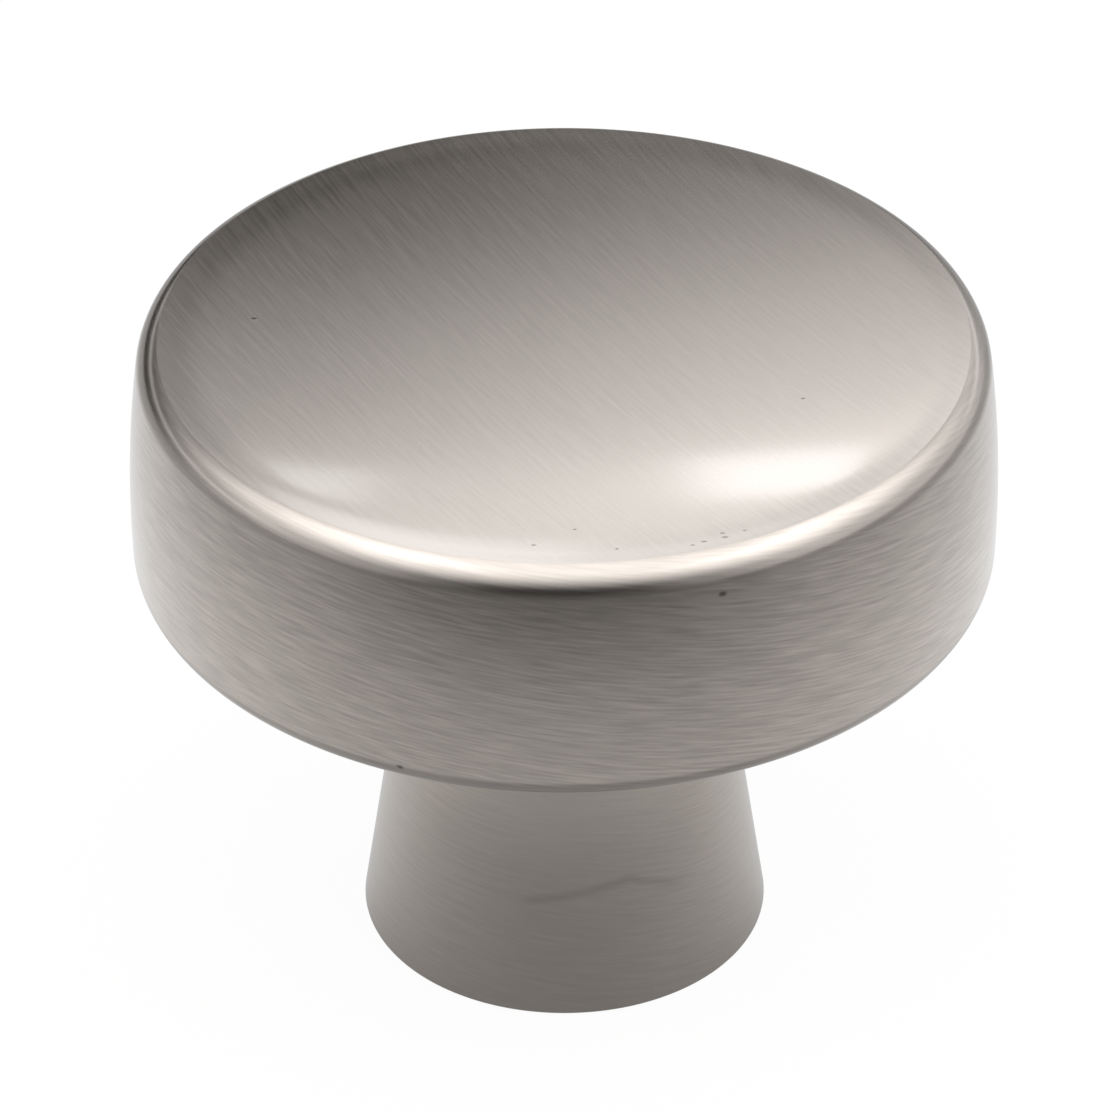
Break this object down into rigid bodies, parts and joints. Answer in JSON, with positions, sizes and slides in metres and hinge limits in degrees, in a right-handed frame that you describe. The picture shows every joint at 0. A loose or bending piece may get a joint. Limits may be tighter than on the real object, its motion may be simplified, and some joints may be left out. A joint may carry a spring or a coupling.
{
  "type": "cabinet knob",
  "caption": "Round cabinet or drawer knob: a drum-shaped head with a dished brushed face and a softly rounded rim, on a stem that flares to a flat foot with a tapped screw hole.",
  "frame": {"origin": "centre of the knob's foot, on the face of the door or drawer front that it is screwed to", "axes": "+Z along the knob's axis, out of the door towards the head; X and Y lie in the door's face, and the brush lines of the dish run at 60 degrees from +X towards -Y"},
  "size_m": [0.0332, 0.0332, 0.0265],
  "materials": {
    "satin_nickel": "satin"
  },
  "bodies": {
    "root": {"knob": "satin_nickel"}
  },
  "joints": []
}
